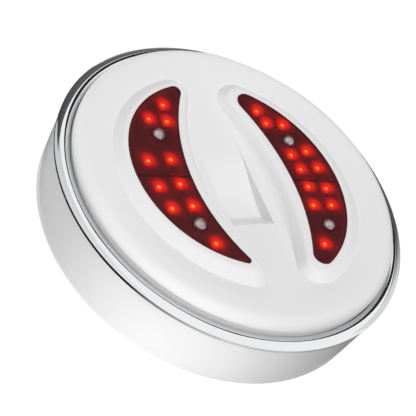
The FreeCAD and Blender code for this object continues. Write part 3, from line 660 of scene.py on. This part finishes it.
def window_finish(name, places):
    """Red plastic that is clear on its broad faces, with a painted glow round each lamp."""
    material = finish(name, dark=(0.27, 0.055, 0.06), light=(0.33, 0.065, 0.07), drift=120,
                      rough=(0.06, 0.12), grain=500, bump=0.02, fixed=WINDOW_FIXED)
    tree = material.node_tree
    shader = tree.nodes["Principled BSDF"]
    faces = broad_faces(tree)
    # Painted glow: emission round each lamp on the underside, standing for the lamps' light scattered
    # in the window.
    painted_glow = glow(tree, nearest_lamp(tree, places, SEEN_FROM_ABOVE), SMALL_PAINTED_GLOW, WIDE_PAINTED_GLOW)
    lower_painted_glow = combined(tree, "MULTIPLY", painted_glow, underside(tree))
    tree.links.new(combined(tree, "MULTIPLY", lower_painted_glow, faces), shader.inputs["Emission Strength"])
    clearness = between(tree, faces, 0.0, WINDOW_CLEARNESS)
    tree.links.new(clearness, shader.inputs["Transmission Weight"])
    body = shader.inputs["Base Color"].links[0].from_socket
    edged = tree.nodes.new("ShaderNodeMix")
    edged.data_type = "RGBA"
    edged.inputs["A"].default_value = WINDOW_EDGE
    tree.links.new(faces, edged.inputs["Factor"])
    tree.links.new(body, edged.inputs["B"])
    tree.links.new(edged.outputs["Result"], shader.inputs["Base Color"])
    return material


window_finishes = {side: window_finish(side + "_red_lens", red_places[side]) for side in SIDES}
print("window finishes:", [material.name for material in window_finishes.values()])

# %% [markdown]
# ## Lit lamps and clear plastic
# A lit lamp is yellow and brightest at its crown, and red further down. One strong glow all over would
# make it look like a tube. Its light is only for rays that look at it, because many tiny lamps that
# light other things make a noisy picture. The clear lamps are cast in clear plastic. Their colour holds
# a little painted pink, which stands for the red light round them.

# %% Lamp finishes
HEAT_REACH = 1.5 * MM
LIT_RED = (1.0, 0.004, 0.0)
LIT_YELLOW = (1.0, 0.65, 0.004)
CROWN_GLOW = (0.0, 1.2 * MM, 26.0)
BODY_GLOW = (0.3 * MM, 2.8 * MM, 6.0)
ALL_ROUND = (1, 1, 1)


def lit_finish(name, places):
    """Red lamp that shines from its crown."""
    material = finish(name, dark=(0.5, 0.03, 0.02), light=(0.6, 0.05, 0.03), drift=800,
                      rough=(0.1, 0.2), grain=1000, bump=0.02)
    tree = material.node_tree
    shader = tree.nodes["Principled BSDF"]
    crown = nearest_lamp(tree, places, ALL_ROUND)
    heat = fading(tree, crown, 0.0, HEAT_REACH, 1.0)
    tree.links.new(tones(tree, heat, LIT_RED, LIT_YELLOW), shader.inputs["Emission Color"])
    shine = glow(tree, crown, CROWN_GLOW, BODY_GLOW)
    seen_shine = combined(tree, "MULTIPLY", shine, seen_rays(tree))
    tree.links.new(seen_shine, shader.inputs["Emission Strength"])
    return material


lamp_finishes = {side: lit_finish(side + "_red_lamp", red_places[side]) for side in SIDES}
print("lamp finishes:", [material.name for material in lamp_finishes.values()])
# Painted pink in the clear plastic's colour stands for the red light round the lamps.
add_finish("clear_lamp", dark=(0.80, 0.64, 0.64), light=(0.92, 0.80, 0.80), drift=700,
           rough=(0.02, 0.05), grain=900, bump=0.02, fixed={"Transmission Weight": 0.9, "IOR": 1.5})

# %% [markdown]
# ## Spun pieces
# The next pieces are round, as if turned on a lathe. They could be stacked from cylinders, with seams
# inside. Instead a half outline is drawn beside the axis and spun once round it, which gives one closed
# skin. Spinning leaves doubled points on the axis, so they are merged, and then the faces are turned
# outwards.

# %% Spinning and adding pieces
SHARP_EDGE = math.radians(40)


def spun(bm, place, outline, steps):
    """Spins a half outline, given by radii and heights, once round an upright axis at a place."""
    corners = [(place.x + radius, place.y, height) for radius, height in outline]
    verts = [bmesh.ops.create_vert(bm, co=corner)["vert"][0] for corner in corners]
    edges = [bm.edges.new(pair) for pair in zip(verts, verts[1:])]
    bmesh.ops.spin(bm, geom=verts + edges, cent=place, axis=UPRIGHT, angle=2 * math.pi, steps=steps,
                   use_merge=True)


def add_piece(bm, name, slot):
    """Closes a bmesh, shades it and makes it a piece that rides on the case."""
    bmesh.ops.remove_doubles(bm, verts=bm.verts, dist=MERGE_DISTANCE)
    bmesh.ops.recalc_face_normals(bm, faces=bm.faces)
    for face in bm.faces:
        face.smooth = True
    mesh = bpy.data.meshes.new(name)
    bm.to_mesh(mesh)
    bm.free()
    mesh.set_sharp_from_angle(angle=SHARP_EDGE)
    mesh.materials.append(finishes[slot])
    piece = bpy.data.objects.new(name, mesh)
    bpy.context.collection.objects.link(piece)
    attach(piece, "case")
    top = max(v.co.z for v in mesh.vertices)
    print(name, len(mesh.vertices), "vertices, top at", round(top, 4))
    return piece


print("edges stay sharp from", round(math.degrees(SHARP_EDGE)), "degrees")

# %% [markdown]
# ## Clear lamps
# Two larger clear lamps stand in holes of each window, and their domes rise over it. A plain ball would
# do from afar. A real one is cast in one piece, so it is spun here from its half outline: a low dome, a
# straight body and a flange at the foot. Two thin leads go down to the board.

# %% Clear lamps
DOME_RADIUS = 2.55 * MM
DOME_HEIGHT = 2.0 * MM
DOME_MORE_RISE = 1.4 * MM
BOX_MARGIN = 0.05 * MM
LAMP_HEIGHT = 5.6 * MM
FLANGE_RADIUS = 2.9 * MM
FLANGE_THICKNESS = 0.9 * MM
LEAD_RADIUS = 0.25 * MM
LEAD_SPACING = 2.54 * MM
LEAD_SIDES = 12
DOME_STEPS = 10
LAMP_STEPS = 48


def dome_crown(place):
    """Height of a dome over the CAD lamp's crown, still inside the CAD box."""
    return min(place.z + DOME_MORE_RISE, cad_box[1][2] - BOX_MARGIN)


def clear_lamp(bm, place, foot):
    """One spun lamp with its CAD crown at the given place, on leads that reach down to the foot."""
    crown = dome_crown(place)
    seat = place.z - LAMP_HEIGHT
    shoulder = seat + FLANGE_THICKNESS
    angles = [math.pi / 2 * step / DOME_STEPS for step in range(DOME_STEPS + 1)]
    dome = [(DOME_RADIUS * math.sin(angle), crown - DOME_HEIGHT * (1 - math.cos(angle)))
            for angle in angles]
    flange = [(DOME_RADIUS, shoulder), (FLANGE_RADIUS, shoulder), (FLANGE_RADIUS, seat), (0, seat)]
    spun(bm, place, dome + flange, LAMP_STEPS)
    for side in (-1, 1):
        middle = Vector((place.x, place.y + side * LEAD_SPACING / 2, (foot + seat) / 2))
        bmesh.ops.create_cone(bm, cap_ends=True, segments=LEAD_SIDES, radius1=LEAD_RADIUS,
                              radius2=LEAD_RADIUS, depth=seat - foot,
                              matrix=Matrix.Translation(middle))


for side in SIDES:
    node = side + "_clear_lamps"
    bm = bmesh.new()
    for place in clear_places[side]:
        clear_lamp(bm, place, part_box(node)[0][2])
    piece = add_piece(bm, side + "_domed_lamps", "clear_lamp")
    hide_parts(node)

# %% [markdown]
# ## Cups in the clear lamps
# Through a clear dome one sees the metal that carries the light: a small bright cup on a post, and a
# second post beside it. They could be left out, but then the dome would look like a drop of water. The
# cup is spun like the lamp. The second post is a stretched cube with rounded edges, because real ones
# are stamped from sheet.

# %% Cups
# Each pair is a radius and a depth under the dome's crown, in millimetres.
CUP_OUTLINE = [(0.0, 2.9), (0.5, 2.9), (1.1, 2.2), (1.25, 2.2),
               (0.8, 3.3), (0.4, 3.6), (0.4, 5.5), (0.0, 5.5)]
CUP_STEPS = 32
POST_SIZE = (0.9 * MM, 0.7 * MM, 3.4 * MM)
POST_OFFSET = 1.55 * MM
POST_DEPTH = 2.0 * MM
POST_ROUNDING = 0.12 * MM


def cup(bm, place):
    """One cup with its post, and a post beside it, in the lamp with its CAD crown at the place."""
    crown = dome_crown(place)
    outline = [(radius * MM, crown - depth * MM) for radius, depth in CUP_OUTLINE]
    spun(bm, place, outline, CUP_STEPS)
    middle = Vector((place.x, place.y - POST_OFFSET, crown - POST_DEPTH - POST_SIZE[2] / 2))
    post = bmesh.ops.create_cube(bm, size=1.0)["verts"]
    bmesh.ops.scale(bm, vec=POST_SIZE, verts=post)
    bmesh.ops.translate(bm, vec=middle, verts=post)
    edges = {edge for vert in post for edge in vert.link_edges}
    bmesh.ops.bevel(bm, geom=list(edges), affect="EDGES", offset=POST_ROUNDING, segments=2,
                    profile=0.5, material=-1)


for side in SIDES:
    bm = bmesh.new()
    for place in clear_places[side]:
        cup(bm, place)
    add_piece(bm, side + "_lamp_cups", "screw_steel")

# %% [markdown]
# ## Dress the CAD nodes
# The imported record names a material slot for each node. The finishes could be given node by node, but
# one loop over the record forgets none. The windows and the red lamps have a finish for each side,
# because their glow follows the lamps of that side.

# %% Dress the CAD nodes
finishes_by_side = {"red_lens": window_finishes, "red_lamp": lamp_finishes}
for subpart in frame["record"]["subparts"]:
    node = subpart["node"]
    slot = subpart["material_slot"]
    if slot in finishes_by_side:
        side = node.split("_")[0]
        material = finishes_by_side[slot][side]
    else:
        material = finishes[slot]
    mesh = nodes[node].data
    mesh.materials.clear()
    mesh.materials.append(material)
